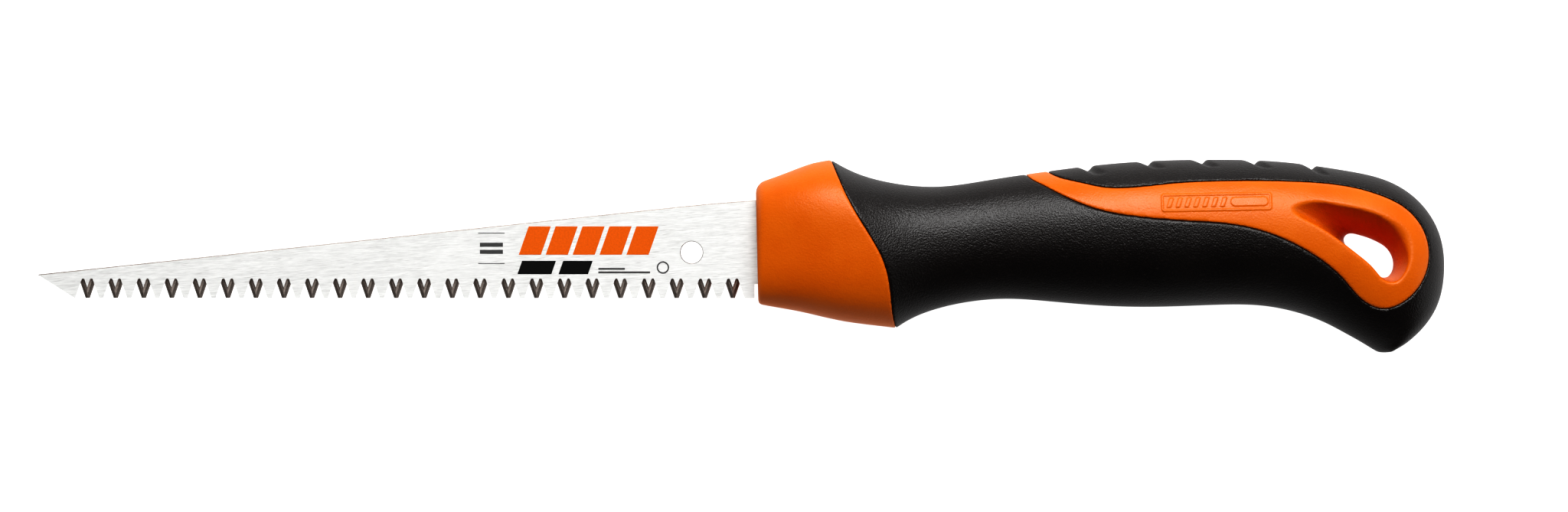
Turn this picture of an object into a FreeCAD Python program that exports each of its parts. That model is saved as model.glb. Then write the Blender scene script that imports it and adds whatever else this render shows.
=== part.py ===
"""Drywall jab saw: a fixed steel blade in a two-material moulded handle.

Three pieces make the saw, and nothing on it moves.
  blade        tapered steel strip, ground teeth on its lower edge, a hole near the heel, a tang in the handle
  handle_core  hard plastic moulded round the tang: bolster, inner spine, and the inlay with the hanging eye
  soft_grip    soft plastic moulded over the spine, from the bolster's rim round the inlay to the beak

Frame, in millimetres: the saw lies on its side on a table.
  X  along the saw, blade point at -X, handle butt at +X
  Y  across it, teeth towards -Y
  Z  up, through its thickness, with the table at Z = 0
Shapes are drawn about the mid-plane of the blade, and export() lifts them on to the table.
"""

import FreeCAD
import Part
import math
import os

from FreeCAD import Vector

OUT = "parts"

# Overall size
HALF_LENGTH = 159.1
HALF_THICKNESS = 16.0

# Blade
BLADE_THICKNESS = 1.5
POINT = (-HALF_LENGTH, -4.1)
BACK_BEND = (-14.0, 11.25)
BACK_CREST = (-5.0, 12.1)
BACK_END = (4.0, 12.75)
TOOTH_LINE = -9.4
TOOTH_PITCH = 25.4 / 8
PAIRS_OF_TEETH = 24
FIRST_PAIR = -147.85
GULLET_DEPTH = 4.4
GULLET_RADIUS = 0.35
GULLET_HALF_ANGLE = math.radians(19.0)
GULLET_SLANT = 0.65
CUT_PAST = 1.0
FIRST_TOOTH = -150.75
HEEL = 3.1
BACK_CHAMFER = 0.2
HOLE_CENTRE = (-11.1, 0.9)
HOLE_RADIUS = 2.5
HOLE_CHAMFER = 0.12

# Tang, hidden in the handle
TANG_LOW = -6.3
TANG_END = 74.0
TANG_END_LOW, TANG_END_HIGH = -2.5, 9.5
TANG_HOLES = ((24.0, 3.4), (50.0, 3.4))
TANG_HOLE_RADIUS = 3.0

# Handle envelope. Each station is a cut across the handle, seen from the side, and holds
# (top x, top y, bottom x, bottom y, half thickness, squareness, bow). A squareness of 2 is an ellipse.
RIM = (20.4, 21.9, 35.2, -16.2, HALF_THICKNESS, 2.5, 2.6)
BOLSTER_STATIONS = (
    (3.4, 14.1, 3.8, -9.2, 7.4, 2.8, 0.0),
    (3.9, 15.8, 4.2, -10.3, 8.6, 2.8, 0.0),
    (5.6, 17.1, 5.8, -11.0, 9.9, 2.8, 0.0),
    (10.0, 18.8, 13.0, -12.4, 12.5, 2.7, 0.6),
    (16.0, 21.0, 23.5, -14.7, 14.9, 2.6, 1.7),
    RIM,
    (27.0, 24.0, 49.0, -18.4, 16.5, 2.5, 0.0),
)
GRIP_STATIONS = (
    (14.5, 26.5, 30.5, -20.5, 18.8, 2.5, 0.0),
    RIM,
    (26.6, 18.7, 39.6, -13.6, 14.4, 2.4, 2.5),
    (34.0, 16.7, 44.6, -11.8, 13.1, 2.3, 1.4),
    (44.0, 15.8, 51.5, -10.3, 12.4, 2.2, 0.3),
    (55.5, 17.2, 60.0, -9.6, 12.4, 2.2, 0.0),
    (67.5, 19.0, 69.0, -10.1, 13.2, 2.15, 0.0),
    (81.0, 20.7, 81.0, -11.1, 14.6, 2.2, 0.0),
    (95.0, 21.7, 94.0, -11.4, 15.7, 2.25, 0.0),
    (109.0, 21.9, 106.5, -11.0, HALF_THICKNESS, 2.25, 0.0),
    (123.5, 21.3, 117.5, -11.1, 15.9, 2.25, 0.0),
    (136.5, 19.5, 126.0, -12.7, 15.5, 2.2, 0.0),
    (147.3, 16.7, 132.3, -15.0, 15.0, 2.2, 0.0),
    (154.6, 11.2, 136.9, -17.4, 14.2, 2.2, 0.0),
    (158.4, 4.0, 140.3, -19.3, 13.0, 2.2, 0.0),
    (159.1, -4.0, 142.6, -20.7, 11.5, 2.1, 0.0),
    (157.4, -11.5, 144.0, -21.5, 9.7, 2.0, 0.0),
    (153.0, -17.5, 145.0, -21.9, 7.8, 2.0, 0.0),
    (148.5, -21.1, 145.6, -22.0, 6.4, 2.0, 0.0),
)
SECTION_POINTS = 28
BOW_SKEW = 1.5
RIM_OVERRUN = 16.0
RIM_STEPS = 24
FAR_AHEAD = -60.0
WIDE = 40.0

# Inner spine, the envelope less the soft plastic's wall
SOFT_WALL = 4.0
SPINE_STATIONS = (2, 14)
SPINE_FRONT = (14.0, 17.5, 26.0, -11.5, 11.5, 2.4, 0.0)
ANCHOR_RADIUS = 3.0
ANCHOR_XS = (84.0, 97.0, 110.0)
ANCHOR_Y = -0.5

# Inlay seen from the side: from above the back, round the eye, and out over the back again
INLAY_EDGE = (
    (68.5, 21.5), (69.2, 19.5), (71.2, 18.1), (76.0, 16.8), (81.5, 15.6), (88.0, 15.5), (97.0, 16.4),
    (112.0, 17.0), (126.0, 16.8), (137.0, 15.7), (144.2, 13.7), (149.8, 10.8), (153.7, 6.1),
    (155.0, 0.4), (153.6, -5.2), (149.8, -9.8), (144.6, -11.8), (139.9, -9.9), (135.6, -5.3),
    (129.5, -0.2), (121.5, 4.1), (112.0, 6.9), (101.0, 7.9), (90.0, 8.8), (80.5, 10.5),
    (72.5, 13.7), (67.2, 16.5), (65.0, 17.9), (64.0, 19.5), (63.6, 21.5),
)
ABOVE_BACK = 26.0

# Hanging eye: the rim of its recess at the surface, and the throat at the mid-plane, point for point
EYE_RIM = (
    (125.4, 10.6), (127.6, 12.6), (132.6, 12.8), (138.2, 12.1), (143.4, 10.7), (147.6, 8.0),
    (150.2, 4.0), (150.9, -0.4), (149.8, -3.6), (147.0, -6.0), (144.7, -5.4), (142.4, -2.8),
    (138.4, 0.9), (133.4, 4.8), (128.6, 7.6),
)
EYE_THROAT = (
    (136.5, 4.1), (137.5, 5.1), (139.3, 5.0), (141.4, 4.4), (143.8, 3.4), (146.0, 2.0),
    (147.3, 0.1), (147.7, -1.8), (147.3, -3.6), (146.3, -4.7), (144.9, -4.7), (143.2, -3.5),
    (141.0, -1.5), (138.8, 0.5), (137.0, 2.4),
)
EYE_RIM_HEIGHT = 15.2
EYE_TOP = 20.0

# Finger notches across the back
NOTCH_RADIUS = 1.5
NOTCHES = ((78.2, 20.8), (90.9, 22.0), (103.4, 22.4), (115.7, 22.2), (128.5, 21.4))
NOTCH_REACH = (2.4, -0.2, 8.6)


def spline_edge(points, closed=False):
    curve = Part.BSplineCurve()
    curve.interpolate([Vector(*p) for p in points], PeriodicFlag=closed)
    return curve.toShape()


def outline_at(points, z):
    return [(x, y, z) for x, y in points]


def station_height(station):
    top_x, top_y, low_x, low_y = station[:4]
    return math.hypot(top_x - low_x, top_y - low_y)


def station_point(station, down):
    """The point this far down the station's line, which bows towards the butt and runs straight past it."""
    top_x, top_y, low_x, low_y, _, _, bow = station
    height = station_height(station)
    along_x, along_y = (low_x - top_x) / height, (low_y - top_y) / height
    share = min(1.0, max(0.0, down / height))
    bend = bow * math.sin(math.pi * share**BOW_SKEW) ** 2
    return top_x + along_x * down - along_y * bend, top_y + along_y * down + along_x * bend


def section_points(station, inset):
    """Points round one closed cut across the handle, drawn inset from the outer surface."""
    half, squareness = station[4:6]
    half_height = station_height(station) / 2
    points = []
    for i in range(SECTION_POINTS):
        angle = 2 * math.pi * i / SECTION_POINTS - math.pi / 2
        up = math.copysign(abs(math.sin(angle)) ** (2 / squareness), math.sin(angle))
        out = math.copysign(abs(math.cos(angle)) ** (2 / squareness), math.cos(angle))
        x, y = station_point(station, half_height - up * (half_height - inset))
        points.append(Vector(x, y, out * (half - inset)))
    return points


def skin(stations, inset=0.0):
    """A solid whose smooth side passes through every station's cut, closed flat at both ends."""
    cuts = [section_points(station, inset) for station in stations]
    rings = []
    for cut in cuts:
        ring = Part.BSplineCurve()
        ring.interpolate(cut, PeriodicFlag=True, Parameters=list(range(SECTION_POINTS + 1)))
        rings.append(ring)
    travel = [0.0]
    for cut, following in zip(cuts, cuts[1:]):
        step = sum(b.sub(a).Length for a, b in zip(cut, following)) / SECTION_POINTS
        travel.append(travel[-1] + step)
    columns = []
    for i in range(rings[0].NbPoles):
        column = Part.BSplineCurve()
        column.interpolate([ring.getPole(i + 1) for ring in rings], Parameters=travel)
        columns.append(column)
    side = Part.BSplineSurface()
    side.buildFromPolesMultsKnots(
        [column.getPoles() for column in columns], rings[0].getMultiplicities(),
        columns[0].getMultiplicities(), rings[0].getKnots(), columns[0].getKnots(), True, False, 3, 3)
    caps = [Part.Face(Part.Wire([side.vIso(v).toShape()])) for v in (travel[0], travel[-1])]
    shell = Part.Shell([side.toShape()] + caps)
    shell.sewShape()
    solid = Part.Solid(shell)
    if solid.Volume < 0:
        solid.reverse()
    return solid


def prism(edges, half_height):
    """A solid of this outline, as deep on each side of the mid-plane."""
    face = Part.Face(Part.Wire(edges))
    face.translate(Vector(0, 0, -half_height))
    return face.extrude(Vector(0, 0, 2 * half_height))


def polygon_edges(points):
    return [Part.LineSegment(Vector(*a), Vector(*b)).toShape() for a, b in zip(points, points[1:])]


def front_of_rim():
    """Everything on the blade's side of the bolster's rim."""
    height = station_height(RIM)
    line = []
    for i in range(RIM_STEPS + 1):
        down = -RIM_OVERRUN + (height + 2 * RIM_OVERRUN) * i / RIM_STEPS
        line.append((*station_point(RIM, down), 0))
    above, below = line[0], line[-1]
    corners = [below, (FAR_AHEAD, below[1], 0), (FAR_AHEAD, above[1], 0), above]
    return prism(polygon_edges(corners) + [spline_edge(line)], WIDE)


def gullet(centre_x, slant):
    """One V-shaped grinding pass: its centre moves by slant either way between the blade's faces."""
    half = BLADE_THICKNESS / 2 + CUT_PAST
    drift = slant * half / (BLADE_THICKNESS / 2)
    bottom = TOOTH_LINE + GULLET_DEPTH
    mouth = TOOTH_LINE - CUT_PAST
    shoulder_half = GULLET_RADIUS * math.cos(GULLET_HALF_ANGLE)
    shoulder_y = bottom - GULLET_RADIUS + GULLET_RADIUS * math.sin(GULLET_HALF_ANGLE)
    mouth_half = shoulder_half + (shoulder_y - mouth) * math.tan(GULLET_HALF_ANGLE)
    x = centre_x - drift
    left = (x - mouth_half, mouth, -half)
    right = (x + mouth_half, mouth, -half)
    up_left = (x - shoulder_half, shoulder_y, -half)
    up_right = (x + shoulder_half, shoulder_y, -half)
    edges = polygon_edges([up_right, right, left, up_left])
    edges.append(Part.Arc(Vector(*up_left), Vector(x, bottom, -half), Vector(*up_right)).toShape())
    return Part.Face(Part.Wire(edges)).extrude(Vector(2 * drift, 0, 2 * half))


def hole(x, y, radius):
    return Part.makeCylinder(radius, 2 * WIDE, Vector(x, y, -WIDE))


def hole_chamfers():
    """The two cones that bevel the rims of the blade's hole."""
    x, y = HOLE_CENTRE
    mouth = HOLE_RADIUS + 2 * HOLE_CHAMFER
    start = BLADE_THICKNESS / 2 - HOLE_CHAMFER
    return [Part.makeCone(HOLE_RADIUS, mouth, 2 * HOLE_CHAMFER, Vector(x, y, side * start), Vector(0, 0, side))
            for side in (1, -1)]


def break_back_edges(strip):
    """Bevels the strip's two long edges along its back, as far as the handle."""
    long_edges = [edge for edge in strip.Edges
                  if abs(edge.CenterOfMass.z) > 0 and 0 < edge.CenterOfMass.y and edge.CenterOfMass.x < BACK_END[0]]
    return strip.makeChamfer(BACK_CHAMFER, long_edges)


def make_blade():
    edges = polygon_edges([
        (*BACK_BEND, 0), (*POINT, 0), (FIRST_TOOTH, TOOTH_LINE, 0), (HEEL, TOOTH_LINE, 0),
        (HEEL, TANG_LOW, 0), (TANG_END, TANG_END_LOW, 0), (TANG_END, TANG_END_HIGH, 0), (*BACK_END, 0),
    ])
    edges.append(Part.Arc(Vector(*BACK_END, 0), Vector(*BACK_CREST, 0), Vector(*BACK_BEND, 0)).toShape())
    cutters = [hole(*HOLE_CENTRE, HOLE_RADIUS)] + hole_chamfers()
    cutters += [hole(x, y, TANG_HOLE_RADIUS) for x, y in TANG_HOLES]
    for pair in range(PAIRS_OF_TEETH):
        centre = FIRST_PAIR + 2 * TOOTH_PITCH * pair
        cutters.append(gullet(centre - TOOTH_PITCH / 2, GULLET_SLANT))
        cutters.append(gullet(centre + TOOTH_PITCH / 2, -GULLET_SLANT))
    return break_back_edges(prism(edges, BLADE_THICKNESS / 2)).cut(cutters)


def make_eye():
    """The tapered opening, from the throat at the mid-plane out past both surfaces."""
    flare = EYE_TOP / EYE_RIM_HEIGHT
    mouth = [(tx + (rx - tx) * flare, ty + (ry - ty) * flare)
             for (rx, ry), (tx, ty) in zip(EYE_RIM, EYE_THROAT)]
    throat_wire = Part.Wire([spline_edge(outline_at(EYE_THROAT, 0), closed=True)])
    halves = []
    for side in (1, -1):
        mouth_wire = Part.Wire([spline_edge(outline_at(mouth, side * EYE_TOP), closed=True)])
        halves.append(Part.makeLoft([throat_wire, mouth_wire], True, True))
    return halves[0].fuse(halves[1])


def make_notch(x, y):
    """A round groove over the back that bends towards the butt and runs out of the surface on both sides."""
    ahead, drop, out = NOTCH_REACH
    start = Vector(x + ahead, y + drop, -out)
    bend = Part.Circle(start, Vector(x, y, 0), Vector(x + ahead, y + drop, out))
    heading = bend.Axis.cross(start.sub(bend.Center))
    disc = Part.Face(Part.Wire([Part.makeCircle(NOTCH_RADIUS, start, heading)]))
    return disc.revolve(bend.Center, bend.Axis, math.degrees(2 * math.asin(out / bend.Radius)))


def inlay_outline():
    """A prism of the inlay's side view, open to above the back."""
    start, end = INLAY_EDGE[0], INLAY_EDGE[-1]
    corners = [(*end, 0), (end[0], ABOVE_BACK, 0), (start[0], ABOVE_BACK, 0), (*start, 0)]
    return prism(polygon_edges(corners) + [spline_edge(outline_at(INLAY_EDGE, 0))], WIDE)


def make_spine():
    """The core inside the grip, with through holes where the soft plastic ties its two sides together."""
    first, last = SPINE_STATIONS
    spine = skin((SPINE_FRONT,) + GRIP_STATIONS[first:last], SOFT_WALL)
    return spine.cut([hole(x, ANCHOR_Y, ANCHOR_RADIUS) for x in ANCHOR_XS])


def make_handle(blade):
    """Returns the hard core and the soft grip over it, which share the envelope without overlapping."""
    front = front_of_rim()
    envelope = skin(GRIP_STATIONS).cut(front)
    spine = make_spine()
    inlay = inlay_outline()
    bolster = skin(BOLSTER_STATIONS).common(front)
    core = bolster.fuse([spine, envelope.common(inlay)]).cut([make_eye(), blade])
    grip = envelope.cut([inlay, spine] + [make_notch(x, y) for x, y in NOTCHES])
    return core, grip


def export(name, shape):
    shape = shape.copy()
    shape.translate(Vector(0, 0, HALF_THICKNESS))
    shape.exportStep(os.path.join(OUT, name + ".step"))
    box = shape.BoundBox
    print(f"{name}: valid {shape.isValid()}, solids {len(shape.Solids)}, "
          f"volume {shape.Volume / 1000:.2f} cm3, x {box.XMin:.2f} to {box.XMax:.2f}, "
          f"y {box.YMin:.2f} to {box.YMax:.2f}, z {box.ZMin:.2f} to {box.ZMax:.2f}")


def main():
    os.makedirs(OUT, exist_ok=True)
    blade = make_blade()
    core, grip = make_handle(blade)
    export("blade", blade)
    export("handle_core", core)
    export("soft_grip", grip)


main()
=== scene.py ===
"""The looks of the drywall saw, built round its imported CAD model.

The blade is the CAD node with a brushed-steel material. The hard core and the soft grip replace their
CAD nodes with finer skins. Each skin is the zero surface of a distance field. The handle's envelope,
the inlay's outline, the bolster's rim and the hanging eye are fields too, joined with rounded edges.
Lengths are in metres, in the frame of the CAD: X along the saw towards the butt, Y towards the back,
Z up off the table.
"""

import math

import bmesh
import bpy
import numpy as np
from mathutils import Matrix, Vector
from mathutils.kdtree import KDTree


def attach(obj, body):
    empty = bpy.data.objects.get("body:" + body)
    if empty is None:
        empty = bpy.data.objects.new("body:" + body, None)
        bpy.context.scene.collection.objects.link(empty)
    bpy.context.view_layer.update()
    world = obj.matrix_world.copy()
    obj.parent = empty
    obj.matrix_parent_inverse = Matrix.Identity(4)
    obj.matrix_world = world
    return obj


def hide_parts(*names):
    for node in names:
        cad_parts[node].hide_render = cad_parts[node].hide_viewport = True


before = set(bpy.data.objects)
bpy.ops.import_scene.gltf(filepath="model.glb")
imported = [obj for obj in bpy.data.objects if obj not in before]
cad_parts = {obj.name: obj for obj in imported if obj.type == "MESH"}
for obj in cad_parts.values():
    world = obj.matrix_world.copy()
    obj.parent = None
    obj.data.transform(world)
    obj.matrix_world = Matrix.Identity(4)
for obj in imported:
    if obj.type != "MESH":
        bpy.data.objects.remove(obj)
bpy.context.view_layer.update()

MID_PLANE = 0.016
BLADE_THICKNESS = 0.0015
BLADE_FACE = MID_PLANE + BLADE_THICKNESS / 2

# Tang, from the nose of the bolster into the handle
TANG = (
    (0.0000, 0.01250), (0.0040, 0.01275), (0.0740, 0.0095),
    (0.0740, -0.0025), (0.0031, -0.0063), (0.0000, -0.0063),
)

# Handle envelope. Each station is a cut across the handle, seen from the side, and holds
# (top x, top y, bottom x, bottom y, half thickness, squareness, bow). A squareness of 2 is an ellipse.
# The bow is how far the cut's line bends towards the butt.
TOP = slice(0, 2)
BOTTOM = slice(2, 4)
HALF = 4
SQUARENESS = 5
BOW = 6
HALF_THICKNESS = 0.01598
RIM = (0.0204, 0.0219, 0.0352, -0.0162, HALF_THICKNESS, 2.5, 0.0026)
BOLSTER_STATIONS = (
    (0.0000, 0.0153, 0.0000, -0.0098, 0.0066, 2.8, 0.0000),
    (0.0050, 0.0170, 0.0052, -0.0110, 0.0096, 2.8, 0.0000),
    (0.0100, 0.0188, 0.0130, -0.0124, 0.0125, 2.7, 0.0006),
    (0.0160, 0.0210, 0.0235, -0.0147, 0.0149, 2.6, 0.0017),
    RIM,
    (0.0270, 0.0240, 0.0490, -0.0184, 0.0165, 2.5, 0.0000),
)
GRIP_STATIONS = (
    (0.0145, 0.0265, 0.0305, -0.0205, 0.0188, 2.5, 0.0000),
    RIM,
    (0.0266, 0.0187, 0.0396, -0.0136, 0.0144, 2.4, 0.0025),
    (0.0340, 0.0167, 0.0446, -0.0118, 0.0131, 2.3, 0.0014),
    (0.0440, 0.0158, 0.0515, -0.0103, 0.0124, 2.2, 0.0003),
    (0.0555, 0.0172, 0.0600, -0.0096, 0.0124, 2.2, 0.0000),
    (0.0675, 0.0190, 0.0690, -0.0101, 0.0132, 2.15, 0.0000),
    (0.0810, 0.0207, 0.0810, -0.0111, 0.0146, 2.2, 0.0000),
    (0.0950, 0.0217, 0.0940, -0.0114, 0.0157, 2.25, 0.0000),
    (0.1090, 0.0219, 0.1065, -0.0110, HALF_THICKNESS, 2.25, 0.0000),
    (0.1235, 0.0213, 0.1175, -0.0111, 0.0159, 2.25, 0.0000),
    (0.1365, 0.0195, 0.1260, -0.0127, 0.0155, 2.2, 0.0000),
    (0.1473, 0.0167, 0.1323, -0.0150, 0.0150, 2.2, 0.0000),
    (0.1546, 0.0112, 0.1369, -0.0174, 0.0142, 2.2, 0.0000),
    (0.1584, 0.0040, 0.1403, -0.0193, 0.0130, 2.2, 0.0000),
    (0.1591, -0.0040, 0.1426, -0.0207, 0.0115, 2.1, 0.0000),
    (0.1574, -0.0115, 0.1440, -0.0215, 0.0097, 2.0, 0.0000),
    (0.1530, -0.0175, 0.1450, -0.0219, 0.0078, 2.0, 0.0000),
    (0.1485, -0.0211, 0.1456, -0.0220, 0.0064, 2.0, 0.0000),
)
BOW_SKEW = 1.5
RIM_OVERRUN = 0.5
RIM_SAMPLES = 80
AHEAD_OF_SAW = -0.05
NOSE_LINE = ((0.0034, 0.0160), (0.0040, -0.0110))
NOSE_ROUND_TOP = 0.0020
NOSE_ROUND_BOTTOM = 0.0007
BEAK_ROUND = 0.0010

# The core's spine under the grip, and the depth past which faces are hidden
SPINE_INSET = 0.0040
SPINE_ROOT = 0.0015
SPINE_END_STATION = 13
HIDDEN_ROUND = 0.0006
HIDDEN_DEPTH = 0.0017

# Inlay, seen from the side. Its outline is closed above the back.
INLAY_EDGE = (
    (0.0685, 0.0215), (0.0692, 0.0195), (0.0712, 0.0181), (0.0760, 0.0168), (0.0815, 0.0156),
    (0.0880, 0.0155), (0.0970, 0.0164), (0.1120, 0.0170), (0.1260, 0.0168), (0.1370, 0.0157),
    (0.1442, 0.0137), (0.1498, 0.0108), (0.1537, 0.0061), (0.1550, 0.0004), (0.1536, -0.0052),
    (0.1498, -0.0098), (0.1446, -0.0118), (0.1399, -0.0099), (0.1356, -0.0053), (0.1295, -0.0002),
    (0.1215, 0.0041), (0.1120, 0.0069), (0.1010, 0.0079), (0.0900, 0.0088), (0.0805, 0.0105),
    (0.0725, 0.0137), (0.0672, 0.0165), (0.0650, 0.0179), (0.0640, 0.0195), (0.0636, 0.0215),
)
ABOVE_BACK = 0.026

# Where the two plastics meet: the rounding of their edges, and a small overlap that shuts out light
PARTING_ROUND = 0.0004
PARTING_OVERLAP = 0.00008

# Hanging eye: the outline of its recess at the rim's height, and of its throat at the mid-plane
EYE_RIM = (
    (0.1239, 0.0110), (0.1264, 0.0129), (0.1322, 0.0129), (0.1382, 0.0121), (0.1434, 0.0107),
    (0.1476, 0.0080), (0.1502, 0.0040), (0.1509, -0.0004), (0.1498, -0.0036), (0.1470, -0.0060),
    (0.1447, -0.0054), (0.1423, -0.0028), (0.1381, 0.0009), (0.1328, 0.0049), (0.1276, 0.0080),
)
EYE_THROAT = (
    (0.1365, 0.0041), (0.1375, 0.0051), (0.1393, 0.0050), (0.1414, 0.0044), (0.1438, 0.0034),
    (0.1460, 0.0020), (0.1473, 0.0001), (0.1477, -0.0018), (0.1473, -0.0036), (0.1463, -0.0047),
    (0.1449, -0.0047), (0.1432, -0.0035), (0.1410, -0.0015), (0.1388, 0.0005), (0.1370, 0.0024),
)
EYE_START = 0.1200
EYE_RIM_HEIGHT = 0.0152
EYE_LIP_ROUND = 0.0005
EYE_SOFT_LIP = 0.0022
EYE_SOFT_PLACE = (0.1500, 0.0050)
EYE_SOFT_REACH = 0.0050
EYE_HOLLOWNESS = 1.5
EYE_PER_SPAN = 6

# Finger notches across the back
NOTCH_XS = (0.0784, 0.0918, 0.1040, 0.1158, 0.1288)
NOTCH_DEPTH = 0.00117
NOTCH_RUN_IN = 0.0023
NOTCH_RUN_OUT = 0.0016
NOTCH_BEND = 0.0030
NOTCH_REACH = 0.0080
NOTCH_FADE = 0.45

# Raised mark on both sides of the inlay: a frame round slanted ribs and a plain pad
MARK_MIDDLE = (0.1069, 0.0122)
MARK_TURN = math.radians(1.0)
MARK_SIZE = (0.0252, 0.0044)
MARK_CORNER = 0.0009
MARK_LINE = 0.00045
MARK_HEIGHT = 0.00016
MARK_FLANK = 0.00018
RIB_XS = (-0.0104, -0.0084, -0.0064, -0.0044, -0.0024, -0.0004, 0.0016)
RIB_SIZE = (0.0009, 0.0021)
RIB_CORNER = RIB_SIZE[0] / 4
RIB_SLANT = 0.35
PAD_MIDDLE = 0.0074
PAD_SIZE = (0.0084, 0.0020)
PAD_CORNER = PAD_SIZE[1] / 2

# Grid that the fields are sampled on, and the faces made from it
STEP = 0.00032
MARGIN = 0.0012
GRID_LOW = (0.0020, -0.0222 - MARGIN)
GRID_HIGH = (0.1592 + MARGIN, 0.0221 + MARGIN)
RELAX_ROUNDS = 3
HIDDEN_KEPT = 0.06
MOST_TRIANGLES = 150000
MARK_SPARE = 2 * STEP
MARK_LOWEST = 0.0080

# Search for the station that passes through a place
TRAVEL_SAMPLES = 240
SHARE_SAMPLES = 41
SHARE_SPARE = 0.1
NEWTON_ROUNDS = 8
TRAVEL_NUDGE = 1e-6
SHARE_NUDGE = 1e-5
LONGEST_TRAVEL = 0.002
LONGEST_SHARE = 0.1
SMALLEST_AREA = 1e-6
MOST_MISS = 1e-4

# Limits that keep the fields finite
TINY = 1e-12
FAR_OUTSIDE = 0.01
SMALLEST_SHRINK = 0.05
SMALLEST_HALF = 0.001
GENTLEST_SLOPE = 20.0

# Blade print, as plain blocks. Bars and lines are (left, right, low, high), and the ring is
# (x, y, outer radius, inner radius).
PRINT_LIFT = 0.00002
PRINT_THICKNESS = 0.00002
SAME_PLACE = 0.000001
PRINT_SLANT = 0.35
ORANGE_MARK_START = -0.0502
ORANGE_MARK_END = -0.0186
ORANGE_MARK_LOW = 0.0004
ORANGE_MARK_HIGH = 0.0068
ORANGE_MARK_COUNT = 5
ORANGE_MARK_GAP = 0.0011
BLACK_BARS = ((-0.0505, -0.0418, -0.0040, -0.0010), (-0.0412, -0.0335, -0.0040, -0.0010))
FINE_LINES = (
    (-0.0322, -0.0262, -0.0030, -0.0026), (-0.0322, -0.0205, -0.0038, -0.0034),
    (-0.0590, -0.0538, 0.0022, 0.0031), (-0.0590, -0.0538, 0.0006, 0.0015),
    (-0.0594, -0.0534, 0.0052, 0.00535), (-0.0594, -0.0534, -0.00165, -0.0015),
)
RING_MARK = (-0.0176, -0.0025, 0.0014, 0.0011)
RING_BLOCKS = 24

# Colour sockets of a mix node
MIX_FIRST = 6
MIX_SECOND = 7
MIX_RESULT = 2

# Noises, as their settings, and the range that most of a noise's values lie in
MOST_OF_NOISE = (0.3, 0.7)
STREAK_TURN = math.radians(-3.5)
FINE_STREAKS = {
    "size": 0.00016, "detail": 3.0, "stretch": (14, 1, 1), "turn": STREAK_TURN, "roughness": 0.6}
BROAD_STREAKS = {"size": 0.0005, "stretch": (12, 1, 1), "turn": STREAK_TURN}
SCRATCHES = {"size": 0.00022, "detail": 1.0, "stretch": (16, 1, 1), "turn": 2 * STREAK_TURN}
STEEL_CLOUDS = {"size": 0.012}
GROUND_GRAIN = {"size": 0.0003}
FLOW_CLOUDS = {"size": 0.009, "detail": 3.0}
PLASTIC_GRAIN = {"size": 0.0004}
PLASTIC_WAVES = {"size": 0.0012, "detail": 1.0}
RUBBER_GRAIN = {"size": 0.00038}
RUBBER_WAVES = {"size": 0.0012, "detail": 1.0}
RUBBED_PATCHES = {"size": 0.014, "detail": 3.0}
DUST = {"size": 0.0011, "detail": 1.0}
INK_WEAR = {"size": 0.0004}
FLOOR_CLOUDS = {"size": 0.4, "detail": 1.0}

# Colours. A pair goes with the low and the high values of a noise.
STREAKED_STEEL = ((0.58, 0.58, 0.57), (0.82, 0.82, 0.81))
SCRATCHED_STEEL = (0.36, 0.35, 0.34)
CLOUDED_STEEL = (0.74, 0.74, 0.73)
# Colour of the bevels and edges: ground finish grain, made darker as painted shade
GROUND_STEEL_WITH_PAINTED_SHADE = ((0.20, 0.16, 0.135), (0.66, 0.60, 0.56))
ORANGE_PLASTIC = ((0.70, 0.160, 0.000), (0.74, 0.182, 0.000))
ORANGE_SPECKS = (0.64, 0.118, 0.000)
BLACK_RUBBER = ((0.0050, 0.0027, 0.0021), (0.0085, 0.0050, 0.0040))
RUBBER_SPECKS = (0.025, 0.0165, 0.0140)
DUST_COLOUR = (0.06, 0.055, 0.05)
ORANGE_INK = (0.82, 0.165, 0.000)
BLACK_INK = (0.008, 0.008, 0.008)
GREY_INK = (0.10, 0.10, 0.10)
WORN_INK = 0.90
FLOOR_COLOURS = ((0.38, 0.38, 0.38), (0.36, 0.36, 0.36))

# Shares that the noises mix in at most, and the ranges of the noises they follow
FINE_SHARE = 0.65
BROAD_SHARE = 0.35
SCRATCH_SHARE = 0.5
SCRATCH_RANGE = (0.66, 0.74)
CLOUD_SHARE = 0.35
PLASTIC_SPECK_SHARE = 0.18
PLASTIC_SPECK_RANGE = (0.35, 0.7)
RUBBER_SPECK_SHARE = 0.6
RUBBER_SPECK_RANGE = (0.58, 0.72)
DUST_SHARE = 0.25
DUST_RANGE = (0.74, 0.78)
WEAR_RANGE = (0.35, 0.65)
FLAT_RANGE = (0.9, 0.97)

# Gloss, and depths of bumps
STEEL_ANISOTROPY = 0.8
STEEL_ROUGHNESS = (0.56, 0.48)
PLASTIC_SPECULAR = 0.52
PLASTIC_ROUGHNESS = (0.37, 0.48)
RUBBER_SPECULAR = 0.8
RUBBER_ROUGHNESS = (0.41, 0.46)
INK_SPECULAR = 0.4
INK_ROUGHNESS = (0.42, 0.52)
FLOOR_ROUGHNESS = 0.9
STREAK_DEPTH = 0.000006
PLASTIC_GRAIN_DEPTH = 0.00006
PLASTIC_WAVE_DEPTH = 0.00003
RUBBER_GRAIN_DEPTH = 0.00013
RUBBER_WAVE_DEPTH = 0.00002
INK_DEPTH = 0.000004

# Floor
FLOOR_HALF = 3.0
FLOOR_GLOW = 0.60

# Room: its strength above and below the horizon, and what is added towards the back and the butt.
# It fades from the low to the high strength as a direction's Z goes through the horizon's range.
HORIZON = (-0.15, 0.10)
ROOM_HIGH = 0.07
ROOM_LOW = 0.52
ROOM_TO_BACK = 0.24
ROOM_TO_BUTT = 0.16

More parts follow.
